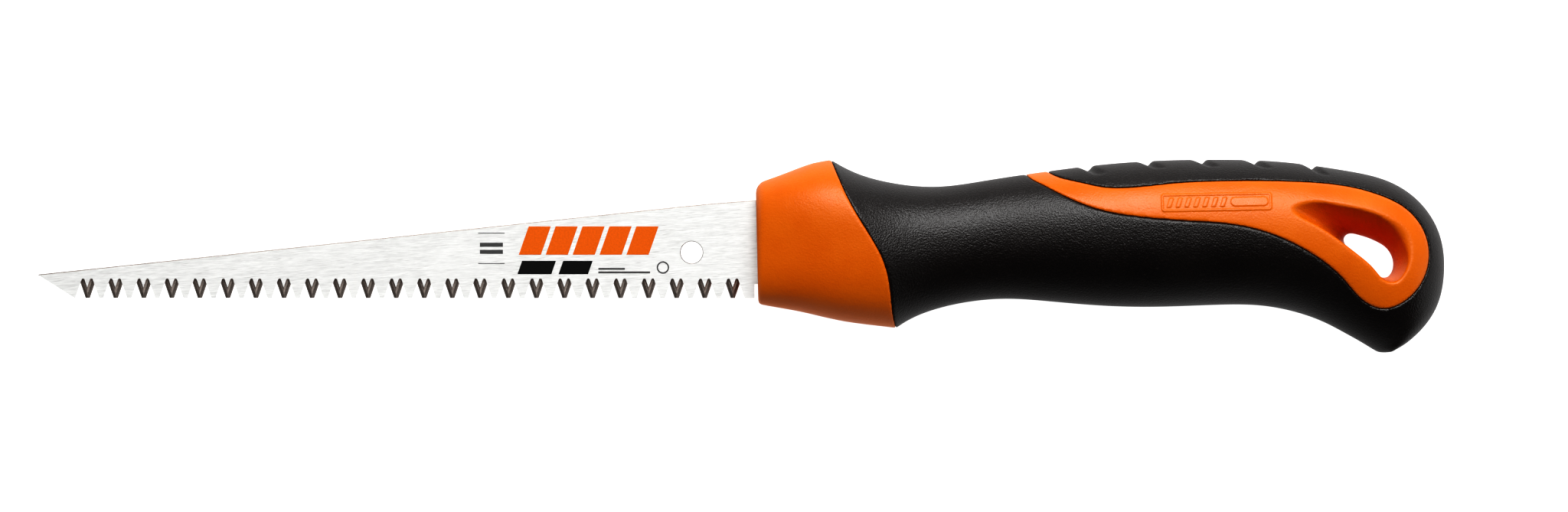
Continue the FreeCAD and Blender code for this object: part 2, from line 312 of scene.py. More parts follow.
# Panels, as (place, aim, size, power in watts)
KEY_PANEL = ((0.06, 1.00, 1.15), (0.03, 0.0, 0.0), (1.4, 0.6), 18.0)
END_PANEL = ((1.30, -0.20, 0.45), (0.05, 0.0, 0.0), (0.6, 0.6), 1.2)
FILL_PANEL = ((0.05, -1.30, 0.35), (0.05, 0.0, 0.0), (1.6, 0.4), 0.15)
OVERHEAD_PANEL = ((0.05, 0.60, 1.45), (0.05, 0.0, 0.0), (1.2, 0.8), 2.0)
CONTRAST = "Very High Contrast"

# View
IMAGE_WIDTH_AT_BLADE = 0.3549
CAMERA_HEIGHT = 1.8
CAMERA_AIM = (0.0098, 0.0001)
SENSOR_MM = 36.0


def natural_spline(knots, rows):
    """A natural cubic spline through rows of values, carried on straight past its ends."""
    knots = np.asarray(knots, float)
    rows = np.asarray(rows, float)
    gaps = np.diff(knots)
    count = len(knots)
    matrix = np.eye(count)
    right = np.zeros_like(rows)
    for i in range(1, count - 1):
        matrix[i, i - 1:i + 2] = gaps[i - 1], 2 * (gaps[i - 1] + gaps[i]), gaps[i]
        right[i] = 6 * ((rows[i + 1] - rows[i]) / gaps[i] - (rows[i] - rows[i - 1]) / gaps[i - 1])
    bends = np.linalg.solve(matrix, right)

    def at(where):
        where = np.asarray(where, float)
        inside = np.clip(where, knots[0], knots[-1])
        i = np.clip(np.searchsorted(knots, inside) - 1, 0, count - 2)
        gap = gaps[i][..., None]
        b = (inside - knots[i])[..., None] / gap
        a = 1 - b
        value = a * rows[i] + b * rows[i + 1]
        value += ((a**3 - a) * bends[i] + (b**3 - b) * bends[i + 1]) * gap**2 / 6
        slope = (rows[i + 1] - rows[i]) / gap
        slope += ((3 * b**2 - 1) * bends[i + 1] - (3 * a**2 - 1) * bends[i]) * gap / 6
        return value + slope * (where - inside)[..., None]

    return at


def smooth_outline(points, closed, per_span=10):
    """Points along a smooth curve through the outline's points."""
    laps = [*points, *points, *points, points[0]] if closed else list(points)
    lengths = [math.dist(a, b) for a, b in zip(laps, laps[1:])]
    knots = np.concatenate([[0.0], np.cumsum(lengths)])
    first = len(points) if closed else 0
    last = 2 * len(points) if closed else len(points) - 1
    where = np.concatenate([
        np.linspace(knots[i], knots[i + 1], per_span, endpoint=False) for i in range(first, last)])
    line = natural_spline(knots, laps)(where)
    return line if closed else np.vstack([line, points[-1]])


def outline_distance(polygon, x, y):
    """Distance to a closed outline in the side view, negative inside it."""
    nearest = np.full(x.shape, np.inf)
    inside = np.zeros(x.shape, bool)
    for (ax, ay), (bx, by) in zip(polygon, np.roll(polygon, -1, axis=0)):
        ex, ey = bx - ax, by - ay
        length_2 = max(ex * ex + ey * ey, TINY)
        t = np.clip(((x - ax) * ex + (y - ay) * ey) / length_2, 0, 1)
        nearest = np.minimum(nearest, (x - ax - t * ex) ** 2 + (y - ay - t * ey) ** 2)
        crosses = (ay > y) != (by > y)
        safe = ey if abs(ey) > TINY else TINY
        inside ^= crosses & (x < ax + (y - ay) / safe * ex)
    return np.where(inside, -1, 1) * np.sqrt(nearest)


def station_xy(rows, share):
    """Places on the stations' bowed lines, from 0 at the back to 1 at the belly."""
    top, low, bow = rows[..., TOP], rows[..., BOTTOM], rows[..., BOW]
    run = low - top
    height = np.linalg.norm(run, axis=-1)
    bend = bow * np.sin(np.pi * np.clip(share, 0, 1) ** BOW_SKEW) ** 2 / np.maximum(height, TINY)
    x = top[..., 0] + run[..., 0] * share - run[..., 1] * bend
    y = top[..., 1] + run[..., 1] * share + run[..., 0] * bend
    return np.stack([x, y], -1)


class Sweep:
    """A body drawn by stations. It finds the station that passes through a place in the side view."""

    def __init__(self, stations):
        rows = np.array(stations)
        middles = [station_xy(rows, share) for share in (0.0, 0.5, 1.0)]
        steps = np.mean([np.linalg.norm(np.diff(m, axis=0), axis=1) for m in middles], axis=0)
        self.travel = np.concatenate([[0.0], np.cumsum(steps)])
        self.rows_at = natural_spline(self.travel, rows)

    def place(self, travel, share):
        return station_xy(self.rows_at(travel), share)

    def nearest_samples(self, flat):
        """Travel and share of the sample nearest to each place, out of an even net of samples."""
        travels, shares = np.meshgrid(
            np.linspace(self.travel[0], self.travel[-1], TRAVEL_SAMPLES),
            np.linspace(-SHARE_SPARE, 1 + SHARE_SPARE, SHARE_SAMPLES), indexing="ij")
        travels, shares = travels.ravel(), shares.ravel()
        tree = KDTree(len(travels))
        for i, (x, y) in enumerate(self.place(travels, shares)):
            tree.insert((x, y, 0.0), i)
        tree.balance()
        nearest = np.array([tree.find((x, y, 0.0))[1] for x, y in flat])
        return travels[nearest], shares[nearest]

    def locate(self, x, y):
        """Travel along the stations and share across them, by Newton steps from the nearest sample."""
        flat = np.stack([x.ravel(), y.ravel()], -1)
        t, u = self.nearest_samples(flat)
        for _ in range(NEWTON_ROUNDS):
            here = self.place(t, u)
            along = (self.place(t + TRAVEL_NUDGE, u) - here) / TRAVEL_NUDGE
            across = (self.place(t, u + SHARE_NUDGE) - here) / SHARE_NUDGE
            miss = flat - here
            area = along[:, 0] * across[:, 1] - along[:, 1] * across[:, 0]
            area = np.where(np.abs(area) < SMALLEST_AREA, SMALLEST_AREA, area)
            move_t = (miss[:, 0] * across[:, 1] - miss[:, 1] * across[:, 0]) / area
            move_u = (along[:, 0] * miss[:, 1] - along[:, 1] * miss[:, 0]) / area
            t = t + np.clip(move_t, -LONGEST_TRAVEL, LONGEST_TRAVEL)
            u = u + np.clip(move_u, -LONGEST_SHARE, LONGEST_SHARE)
        missed = np.linalg.norm(flat - self.place(t, u), axis=1) > MOST_MISS
        return t.reshape(x.shape), u.reshape(x.shape), missed.reshape(x.shape)


def body_distance(sweep, x, y, z, step, inset=0.0):
    """Distance to the swept body, negative inside it, and the share across it.

    x and y are the side view's grid, and z the heights above the mid-plane.
    """
    t, u, missed = sweep.locate(x, y)
    rows = sweep.rows_at(t)
    height = np.linalg.norm(rows[..., BOTTOM] - rows[..., TOP], axis=-1)
    squareness = rows[..., SQUARENESS][..., None]
    shrink = np.maximum(1 - 2 * inset / height, SMALLEST_SHRINK)
    v = (np.abs(2 * u - 1) / shrink)[..., None]
    w = z[None, None, :] / np.maximum(rows[..., HALF] - inset, SMALLEST_HALF)[..., None]
    ratio = (v**squareness + w**squareness) ** (1 / squareness)
    slopes = np.gradient(ratio, step)
    steepness = np.sqrt(sum(s * s for s in slopes))
    distance = (ratio - 1) / np.maximum(steepness, GENTLEST_SLOPE)
    distance[missed] = FAR_OUTSIDE
    return distance.astype(np.float32), u


def round_max(a, b, radius):
    """Where two bodies overlap, with a rounded edge of this radius."""
    corner = np.sqrt(np.maximum(a + radius, 0) ** 2 + np.maximum(b + radius, 0) ** 2)
    return np.minimum(np.maximum(a, b), -radius) + corner


def line_side(start, end, x, y):
    """Distance past a straight line, positive on its left going from start to end."""
    run = Vector(end) - Vector(start)
    run.normalize()
    return (x - start[0]) * -run.y + (y - start[1]) * run.x


class Grid:
    """Sample places over the handle's upper half. The lower half is its mirror image."""

    def __init__(self, low, high, top, step):
        self.step = step
        counts = [int(math.ceil((b - a) / step)) + 1 for a, b in zip(low, high)]
        axes = [a + step * np.arange(n) for a, n in zip(low, counts)]
        self.x, self.y = np.meshgrid(axes[0], axes[1], indexing="ij")
        levels = int(math.ceil(top / step)) + 1
        self.z = step * (np.arange(levels) + 0.5)
        self.low = np.array([*low, -self.z[-1]])

    @staticmethod
    def whole(field):
        return np.concatenate([field[:, :, ::-1], field], axis=2)


def cell_vertices(field, inside, grid):
    """A vertex in each cell that the surface crosses, amid its crossings, and the cells' vertex numbers.

    A cell without a vertex has the number -1.
    """
    cells = tuple(n - 1 for n in field.shape)
    total = np.zeros((*cells, 3), np.float32)
    count = np.zeros(cells, np.float32)
    for axis in range(3):
        others = [other for other in range(3) if other != axis]
        for corner in ((0, 0), (0, 1), (1, 0), (1, 1)):
            near = [slice(None)] * 3
            far = [slice(None)] * 3
            near[axis], far[axis] = slice(0, -1), slice(1, None)
            for other, start in zip(others, corner):
                span = slice(start, start + cells[other])
                near[other], far[other] = span, span
            a, b = field[tuple(near)], field[tuple(far)]
            crosses = inside[tuple(near)] != inside[tuple(far)]
            total[..., axis] += np.where(crosses, a / np.where(crosses, a - b, 1), 0)
            for other, start in zip(others, corner):
                total[..., other] += crosses * start
            count += crosses
    used = count > 0
    numbers = np.full(cells, -1, np.int64)
    numbers[used] = np.arange(used.sum())
    vertices = (np.argwhere(used) + total[used] / count[used][:, None]) * grid.step + grid.low
    return vertices, numbers


def crossing_quads(inside, numbers):
    """A quad round each grid edge that the surface crosses, turned to face outwards."""
    quads = []
    for axis in range(3):
        b, c = (axis + 1) % 3, (axis + 2) % 3
        near = [slice(1, -1)] * 3
        far = [slice(1, -1)] * 3
        near[axis], far[axis] = slice(0, -1), slice(1, None)
        leaves = inside[tuple(near)] & ~inside[tuple(far)]
        enters = ~inside[tuple(near)] & inside[tuple(far)]
        for crossing, order in ((leaves, (0, 1, 2, 3)), (enters, (3, 2, 1, 0))):
            place = np.argwhere(crossing)
            place[:, b] += 1
            place[:, c] += 1
            ring = []
            for back_b, back_c in ((1, 1), (0, 1), (0, 0), (1, 0)):
                cell = place.copy()
                cell[:, b] -= back_b
                cell[:, c] -= back_c
                ring.append(numbers[cell[:, 0], cell[:, 1], cell[:, 2]])
            quads.append(np.stack([ring[i] for i in order], -1))
    return np.vstack(quads)


def surface_net(field, grid):
    """Vertices and quads of the field's zero surface."""
    inside = field < 0
    vertices, numbers = cell_vertices(field, inside, grid)
    return vertices, crossing_quads(inside, numbers)


def relaxed(vertices, quads):
    """Evens out the grid's steps: each round, a vertex goes halfway to the middle of its neighbours."""
    starts = quads.ravel()
    ends = np.roll(quads, -1, axis=1).ravel()
    neighbours = np.bincount(starts, minlength=len(vertices))[:, None]
    for _ in range(RELAX_ROUNDS):
        middles = np.stack([
            np.bincount(starts, vertices[ends, axis], minlength=len(vertices)) for axis in range(3)], -1)
        vertices = (vertices + middles / neighbours) / 2
    return vertices


def mesh_object(name, vertices, quads):
    """A smooth-shaded piece."""
    mesh = bpy.data.meshes.new(name)
    mesh.vertices.add(len(vertices))
    mesh.vertices.foreach_set("co", np.asarray(vertices, np.float32).ravel())
    mesh.loops.add(quads.size)
    mesh.loops.foreach_set("vertex_index", quads.ravel().astype(np.int32))
    mesh.polygons.add(len(quads))
    mesh.polygons.foreach_set("loop_start", np.arange(0, quads.size, quads.shape[1], dtype=np.int32))
    mesh.update(calc_edges=True)
    mesh.validate()
    mesh.polygons.foreach_set("use_smooth", np.ones(len(mesh.polygons), bool))
    piece = bpy.data.objects.new(name, mesh)
    bpy.context.scene.collection.objects.link(piece)
    return piece


def past_station(station, x, y):
    """Distance past a station's straight line, towards the butt."""
    return line_side(station[TOP], station[BOTTOM], x, y)[..., None]


def past_rim_distance(x, y):
    """Distance past the bolster's rim, towards the butt."""
    rim_line = station_xy(np.array(RIM), np.linspace(-RIM_OVERRUN, 1 + RIM_OVERRUN, RIM_SAMPLES))
    ahead = [(AHEAD_OF_SAW, rim_line[-1][1]), (AHEAD_OF_SAW, rim_line[0][1])]
    return outline_distance(np.vstack([rim_line, ahead]), x, y)[..., None].astype(np.float32)


def inlay_distance(x, y):
    """Distance to the inlay in the side view."""
    start, end = INLAY_EDGE[0], INLAY_EDGE[-1]
    edge = smooth_outline(INLAY_EDGE, False)
    outline = np.vstack([edge, (end[0], ABOVE_BACK), (start[0], ABOVE_BACK)])
    return outline_distance(outline, x, y)[..., None].astype(np.float32)


def spine_distance(sweep, past_rim, x, y, z, step):
    """Distance to the core's spine, from just ahead of the rim to its last station."""
    spine, _ = body_distance(sweep, x, y, z, step, SPINE_INSET)
    past_end = past_station(GRIP_STATIONS[SPINE_END_STATION], x, y)
    return np.maximum(spine, np.maximum(past_end, -past_rim - SPINE_ROOT))


def bolster_distance(past_rim, x, y, z, step):
    """Distance to the bolster, whose nose is rounded more at the back than at the belly."""
    bolster, u = body_distance(Sweep(BOLSTER_STATIONS), x, y, z, step)
    ahead_of_nose = line_side(NOSE_LINE[1], NOSE_LINE[0], x, y)[..., None]
    nose_round = NOSE_ROUND_TOP + (NOSE_ROUND_BOTTOM - NOSE_ROUND_TOP) * np.clip(u, 0, 1)[..., None]
    return round_max(round_max(bolster, ahead_of_nose, nose_round), past_rim, PARTING_ROUND)


def eye_distance(x, y, z):
    """Distance to the hanging eye, which opens out from its throat to its rim."""
    distance = np.full((*x.shape, len(z)), FAR_OUTSIDE, np.float32)
    near = slice(np.searchsorted(x[:, 0], EYE_START), None)
    throat = np.array(EYE_THROAT)
    rim = np.array(EYE_RIM)
    for level, height in enumerate(z):
        share = (height / EYE_RIM_HEIGHT) ** EYE_HOLLOWNESS
        outline = smooth_outline(throat + (rim - throat) * share, True, EYE_PER_SPAN)
        distance[near, :, level] = outline_distance(outline, x[near], y[near])
    return distance


def eye_lip_round(x, y):
    """Rounding of the eye's lip, which is softest at one place on its rim."""
    from_soft = np.hypot(x - EYE_SOFT_PLACE[0], y - EYE_SOFT_PLACE[1]) / EYE_SOFT_REACH
    return EYE_LIP_ROUND + (EYE_SOFT_LIP - EYE_LIP_ROUND) * np.exp(-from_soft**2)[..., None]


def notch_depth(x, u, z):
    """How far the finger notches sink the back.

    Each has a slow run in and a steep way out, and bends towards the butt as it goes round the side.
    """
    depth = np.zeros((*x.shape, len(z)), np.float32)
    reach = np.clip(1 - (z / NOTCH_REACH) ** 2, 0, 1)[None, None, :]
    bend = NOTCH_BEND * (z / NOTCH_REACH)[None, None, :] ** 2
    for notch_x in NOTCH_XS:
        past = x[..., None] - notch_x - bend
        before = np.clip(1 + past / NOTCH_RUN_IN, 0, 1)
        after = np.clip(1 - past / NOTCH_RUN_OUT, 0, 1)
        shape = np.where(past < 0, before * before * (3 - 2 * before), after * after * (3 - 2 * after))
        depth += NOTCH_DEPTH * shape * reach**NOTCH_FADE
    back_half = (u < 0.5)[..., None]
    return depth * back_half


def slot_distance(x, y, z):
    """Distance to the tang, which the core is moulded round."""
    tang = outline_distance(np.array(TANG), x, y)[..., None]
    return np.maximum(tang, z[None, None, :] - BLADE_THICKNESS / 2)


def handle_fields():
    """The grid, and on it the fields of the core, the grip and the whole handle."""
    grid = Grid(GRID_LOW, GRID_HIGH, HALF_THICKNESS + MARGIN, STEP)
    x, y, z = grid.x, grid.y, grid.z
    sweep = Sweep(GRIP_STATIONS)
    envelope, u = body_distance(sweep, x, y, z, grid.step)
    envelope = round_max(envelope, past_station(GRIP_STATIONS[-1], x, y), BEAK_ROUND)
    past_rim = past_rim_distance(x, y)
    inlay = inlay_distance(x, y)
    eye = eye_distance(x, y, z)
    spine = spine_distance(sweep, past_rim, x, y, z, grid.step)

    grip = envelope + notch_depth(x, u, z)
    grip = round_max(grip, -inlay - PARTING_OVERLAP, PARTING_ROUND)
    grip = round_max(grip, -past_rim - PARTING_OVERLAP, PARTING_ROUND)
    grip = round_max(grip, -spine, HIDDEN_ROUND)

    front = bolster_distance(past_rim, x, y, z, grid.step)
    inlaid = round_max(envelope, inlay, PARTING_ROUND)
    inlaid = round_max(inlaid, -eye, eye_lip_round(x, y))
    core = np.minimum(np.minimum(front, inlaid), np.maximum(spine, -eye))
    core = np.maximum(core, -slot_distance(x, y, z))
    whole_handle = np.maximum(np.minimum(front, envelope), -eye)
    return grid, *(grid.whole(field) for field in (core, grip, whole_handle))


def sample(field, grid, points):
    """The field's value in the cell nearest to each point."""
    cells = np.rint((points - grid.low) / grid.step).astype(int)
    cells = np.clip(cells, 0, np.array(field.shape) - 1)
    return field[cells[:, 0], cells[:, 1], cells[:, 2]]


def thin_out(piece, ratio, chosen):
    """Merges faces down to a share of them, among the chosen vertices only."""
    group = piece.vertex_groups.new(name="chosen")
    group.add([int(i) for i in np.flatnonzero(chosen)], 1.0, "REPLACE")
    thin = piece.modifiers.new("thin", "DECIMATE")
    thin.ratio = ratio
    thin.vertex_group = group.name
    evaluated = piece.evaluated_get(bpy.context.evaluated_depsgraph_get())
    mesh = bpy.data.meshes.new_from_object(evaluated)
    piece.modifiers.remove(thin)
    first = piece.data
    piece.data = mesh
    piece.vertex_groups.clear()
    bpy.data.meshes.remove(first)
    mesh.name = piece.name


def vertex_places(piece):
    """The vertices' places, one row each."""
    places = np.empty(3 * len(piece.data.vertices), np.float32)
    piece.data.vertices.foreach_get("co", places)
    return places.reshape(-1, 3)


def moulding(name, field, whole_handle, grid):
    """The field's surface as a piece, its hidden faces thinned hard and its visible ones if need be."""
    vertices, quads = surface_net(field, grid)
    vertices = relaxed(vertices, quads)
    hidden = sample(whole_handle, grid, vertices) < -HIDDEN_DEPTH
    vertices[:, 2] += MID_PLANE
    piece = mesh_object(name, vertices, quads)
    thin_out(piece, 1 - (1 - HIDDEN_KEPT) * hidden.mean(), hidden)
    triangles = sum(len(face.vertices) - 2 for face in piece.data.polygons)
    if triangles > MOST_TRIANGLES:
        thin_out(piece, MOST_TRIANGLES / triangles, ~in_mark(vertex_places(piece)))
    return piece


def mark_place(places):
    """Places in the side view, measured along and across the raised mark."""
    x = places[:, 0] - MARK_MIDDLE[0]
    y = places[:, 1] - MARK_MIDDLE[1]
    cos, sin = math.cos(MARK_TURN), math.sin(MARK_TURN)
    return x * cos + y * sin, y * cos - x * sin


def in_mark(places):
    """Which places lie under the raised mark or close round it, on either side of the handle."""
    along, across = mark_place(places)
    on_a_side = np.abs(places[:, 2] - MID_PLANE) > MARK_LOWEST
    in_length = np.abs(along) < MARK_SIZE[0] / 2 + MARK_SPARE
    in_width = np.abs(across) < MARK_SIZE[1] / 2 + MARK_SPARE
    return on_a_side & in_length & in_width


def box_distance(along, across, size, corner):
    """Distance to a rectangle with rounded corners."""
    a = np.abs(along) - size[0] / 2 + corner
    b = np.abs(across) - size[1] / 2 + corner
    return np.hypot(np.maximum(a, 0), np.maximum(b, 0)) + np.minimum(np.maximum(a, b), 0) - corner


def mark_height(along, across):
    """How far the raised mark stands up: a frame round slanted ribs and a plain pad."""
    nearest = np.abs(box_distance(along, across, MARK_SIZE, MARK_CORNER) + MARK_LINE) - MARK_LINE / 2
    for rib_x in RIB_XS:
        rib = box_distance(along - rib_x - RIB_SLANT * across, across, RIB_SIZE, RIB_CORNER)
        nearest = np.minimum(nearest, rib)
    pad = box_distance(along - PAD_MIDDLE, across, PAD_SIZE, PAD_CORNER)
    nearest = np.minimum(nearest, pad)
    return MARK_HEIGHT * np.clip(0.5 - nearest / MARK_FLANK, 0, 1)


def raise_mark(core):
    """Divides the faces under the mark and lifts them."""
    work = bmesh.new()
    work.from_mesh(core.data)
    chosen = in_mark(vertex_places(core))
    work.verts.ensure_lookup_table()
    edges = [edge for edge in work.edges if chosen[edge.verts[0].index] or chosen[edge.verts[1].index]]
    bmesh.ops.subdivide_edges(work, edges=edges, cuts=1, use_grid_fill=True)
    work.normal_update()
    places = np.array([vertex.co for vertex in work.verts])
    lift = np.where(in_mark(places), mark_height(*mark_place(places)), 0)
    for vertex, height in zip(work.verts, lift):
        if height > 0:
            vertex.co += vertex.normal * float(height)
    bmesh.ops.triangulate(work, faces=[face for face in work.faces if len(face.verts) > 4])
    work.to_mesh(core.data)
    work.free()


class Nodes:
    """A node tree being built."""

    def __init__(self, tree):
        self.tree = tree

    def node(self, kind, inputs=None, **settings):
        made = self.tree.nodes.new(kind)
        for setting, value in settings.items():
            setattr(made, setting, value)
        for socket, value in (inputs or {}).items():
            if isinstance(value, bpy.types.NodeSocket):
                self.tree.links.new(value, made.inputs[socket])
            else:
                made.inputs[socket].default_value = value
        return made

    def spread(self, value, least, most, between=MOST_OF_NOISE):
        """From least to most, as the value goes through a range."""
        made = self.node("ShaderNodeMapRange", {
            "Value": value, "From Min": between[0], "From Max": between[1],
            "To Min": least, "To Max": most})
        return made.outputs["Result"]

    def math(self, operation, *values):
        return self.node("ShaderNodeMath", dict(enumerate(values)), operation=operation).outputs[0]


class Look(Nodes):
    """A material being built from nodes."""

    def __init__(self, name, **shader_values):
        self.material = bpy.data.materials.new(name)
        self.material.use_nodes = True
        super().__init__(self.material.node_tree)
        self.shader = self.tree.nodes["Principled BSDF"]
        for socket, value in shader_values.items():
            self.shader.inputs[socket.replace("_", " ")].default_value = value
        self.place = self.tree.nodes.new("ShaderNodeTexCoord").outputs["Object"]

    def noise(self, size, detail=2.0, stretch=(1, 1, 1), turn=0.0, roughness=0.5):
        """Noise whose blobs are about this many metres across, stretched along each axis."""
        scale = [1 / (size * amount) for amount in stretch]
        place = self.node("ShaderNodeMapping", {"Vector": self.place, "Rotation": (0, 0, turn)})
        place = self.node("ShaderNodeVectorMath", {0: place.outputs[0], 1: scale}, operation="MULTIPLY")
        made = self.node("ShaderNodeTexNoise", {
            "Vector": place.outputs[0], "Scale": 1.0, "Detail": detail, "Roughness": roughness})
        return made.outputs["Fac"]

    def mix(self, share, first, second):
        """A colour between two, each given as a colour or as another node's output."""
        made = self.node("ShaderNodeMix", {"Factor": share}, data_type="RGBA")
        for socket, value in ((made.inputs[MIX_FIRST], first), (made.inputs[MIX_SECOND], second)):
            if isinstance(value, bpy.types.NodeSocket):
                self.tree.links.new(value, socket)
            else:
                socket.default_value = (*value, 1)
        return made.outputs[MIX_RESULT]

    def bump(self, heights):
        """Bumps of (height value, depth in metres), one after another."""
        normal = None
        for height, depth in heights:
            inputs = {"Height": height, "Distance": depth, "Strength": 1.0}
            if normal is not None:
                inputs["Normal"] = normal
            normal = self.node("ShaderNodeBump", inputs).outputs["Normal"]
        self.tree.links.new(normal, self.shader.inputs["Normal"])

    def feed(self, **links):
        for socket, value in links.items():
            self.tree.links.new(value, self.shader.inputs[socket.replace("_", " ")])


def brushed_steel():
    """Clear brushed strip with fine lengthwise streaks. Its bevels and edges, the faces that tilt away
    from up, get a darker colour that is partly their ground finish and partly painted shade.
    """
    look = Look("brushed_steel", Metallic=1.0, Anisotropic=STEEL_ANISOTROPY)
    fine = look.spread(look.noise(**FINE_STREAKS), 0, FINE_SHARE)
    broad = look.spread(look.noise(**BROAD_STREAKS), 0, BROAD_SHARE)
    streaks = look.math("ADD", fine, broad)
    scratches = look.spread(look.noise(**SCRATCHES), 0, SCRATCH_SHARE, SCRATCH_RANGE)
    clouds = look.spread(look.noise(**STEEL_CLOUDS), 0, CLOUD_SHARE)
    face = look.mix(streaks, *STREAKED_STEEL)
    face = look.mix(scratches, face, SCRATCHED_STEEL)
    face = look.mix(clouds, face, CLOUDED_STEEL)
    # Tilted faces get this darker colour: their ground finish together with painted shade, picked by
    # which way the face turns
    ground_with_painted_shade = look.mix(look.noise(**GROUND_GRAIN), *GROUND_STEEL_WITH_PAINTED_SHADE)
    up = look.node("ShaderNodeSeparateXYZ", {0: look.node("ShaderNodeNewGeometry").outputs["Normal"]})
    flat = look.spread(look.math("ABSOLUTE", up.outputs["Z"]), 0, 1, FLAT_RANGE)
    across = look.node("ShaderNodeTangent", direction_type="RADIAL", axis="X").outputs[0]
    roughness = look.spread(streaks, *STEEL_ROUGHNESS, between=(0, 1))
    look.feed(Base_Color=look.mix(flat, ground_with_painted_shade, face), Roughness=roughness, Tangent=across)
    look.bump([(streaks, STREAK_DEPTH)])
    return look.material


def moulded_plastic():
    """Orange polypropylene with a fine spark-eroded grain and slight flow clouds."""
    look = Look("moulded_orange_plastic", Specular_IOR_Level=PLASTIC_SPECULAR)
    clouds = look.noise(**FLOW_CLOUDS)
    grain = look.noise(**PLASTIC_GRAIN)
    specks = look.spread(grain, 0, PLASTIC_SPECK_SHARE, PLASTIC_SPECK_RANGE)
    colour = look.mix(look.spread(clouds, 0, 1), *ORANGE_PLASTIC)
    colour = look.mix(specks, colour, ORANGE_SPECKS)
    look.feed(Base_Color=colour, Roughness=look.spread(clouds, *PLASTIC_ROUGHNESS))
    look.bump([(grain, PLASTIC_GRAIN_DEPTH), (look.noise(**PLASTIC_WAVES), PLASTIC_WAVE_DEPTH)])
    return look.material


def soft_rubber():
    """Black elastomer with a fine matt grain, a little dust and rubbed patches."""
    look = Look("soft_black_rubber", Specular_IOR_Level=RUBBER_SPECULAR)
    grain = look.noise(**RUBBER_GRAIN)
    patches = look.noise(**RUBBED_PATCHES)
    dust = look.spread(look.noise(**DUST), 0, DUST_SHARE, DUST_RANGE)
    specks = look.spread(grain, 0, RUBBER_SPECK_SHARE, RUBBER_SPECK_RANGE)
    colour = look.mix(look.spread(patches, 0, 1), *BLACK_RUBBER)
    colour = look.mix(specks, colour, RUBBER_SPECKS)
    colour = look.mix(dust, colour, DUST_COLOUR)
    look.feed(Base_Color=colour, Roughness=look.spread(patches, *RUBBER_ROUGHNESS))
    look.bump([(grain, RUBBER_GRAIN_DEPTH), (look.noise(**RUBBER_WAVES), RUBBER_WAVE_DEPTH)])
    return look.material


def print_ink(name, colour):
    """Ink that is a little worn."""
    look = Look(name, Specular_IOR_Level=INK_SPECULAR)
    wear = look.noise(**INK_WEAR)
    worn = tuple(WORN_INK * part for part in colour)
    look.feed(Base_Color=look.mix(look.spread(wear, 0, 1, WEAR_RANGE), worn, colour),
              Roughness=look.spread(wear, *INK_ROUGHNESS))
    look.bump([(wear, INK_DEPTH)])
    return look.material


def printed(name, outlines, material):
    """Flat blocks of ink on the blade's upper face, from outlines that run anticlockwise."""
    mesh = bpy.data.meshes.new(name)
    work = bmesh.new()
    low = BLADE_FACE + PRINT_LIFT
    for outline in outlines:
        work.faces.new([work.verts.new((x, y, low)) for x, y in outline])
    bmesh.ops.remove_doubles(work, verts=work.verts, dist=SAME_PLACE)
    raised = bmesh.ops.extrude_face_region(work, geom=work.faces[:])
    moved = [item for item in raised["geom"] if isinstance(item, bmesh.types.BMVert)]
    bmesh.ops.translate(work, verts=moved, vec=(0, 0, PRINT_THICKNESS))
    bmesh.ops.recalc_face_normals(work, faces=work.faces)
    work.to_mesh(mesh)
    work.free()
    piece = bpy.data.objects.new(name, mesh)
    bpy.context.scene.collection.objects.link(piece)
    piece.data.materials.append(material)
    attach(piece, "root")
    return piece


def slanted_block(left, right, low, high, slant=PRINT_SLANT):
    """A block inside this box, whose ends lean towards the butt as they rise to the back."""
    lean = (high - low) * slant
    return [(left, low), (right - lean, low), (right, high), (left + lean, high)]


def ring_outlines(x, y, outer, inner):
    """A flat ring as a row of blocks, which share their sides."""
    turns = [2 * math.pi * i / RING_BLOCKS for i in range(RING_BLOCKS + 1)]
    blocks = []
    for a, b in zip(turns, turns[1:]):
        corners = ((inner, a), (outer, a), (outer, b), (inner, b))
        blocks.append([
            (x + reach * math.cos(turn), y + reach * math.sin(turn)) for reach, turn in corners])
    return blocks


def orange_blocks():
    """A row of slanted blocks with even gaps."""
    lean = (ORANGE_MARK_HIGH - ORANGE_MARK_LOW) * PRINT_SLANT
    pitch = (ORANGE_MARK_END - ORANGE_MARK_START - lean + ORANGE_MARK_GAP) / ORANGE_MARK_COUNT
    width = pitch - ORANGE_MARK_GAP + lean
    lefts = [ORANGE_MARK_START + i * pitch for i in range(ORANGE_MARK_COUNT)]
    return [slanted_block(left, left + width, ORANGE_MARK_LOW, ORANGE_MARK_HIGH) for left in lefts]


def print_marks():
    """Plain marks in the places, sizes and colours of the print on such a blade."""
    orange = print_ink("orange_ink", ORANGE_INK)
    black = print_ink("black_ink", BLACK_INK)
    grey = print_ink("grey_ink", GREY_INK)
    printed("print_orange_blocks", orange_blocks(), orange)
    printed("print_black_bars", [slanted_block(*bar) for bar in BLACK_BARS], black)
    printed("print_fine_lines", [slanted_block(*line, slant=0.0) for line in FINE_LINES], grey)
    printed("print_ring", ring_outlines(*RING_MARK), grey)


def panel(name, place, aim, size, power):
    """A soft box whose middle is at place, turned to face aim."""
    light = bpy.data.lights.new(name, "AREA")
    light.shape = "RECTANGLE"
    light.size, light.size_y = size
    light.energy = power
    holder = bpy.data.objects.new(name, light)
    holder.location = place
    holder.rotation_euler = (Vector(aim) - Vector(place)).to_track_quat("-Z", "Y").to_euler()
    bpy.context.scene.collection.objects.link(holder)
    return holder


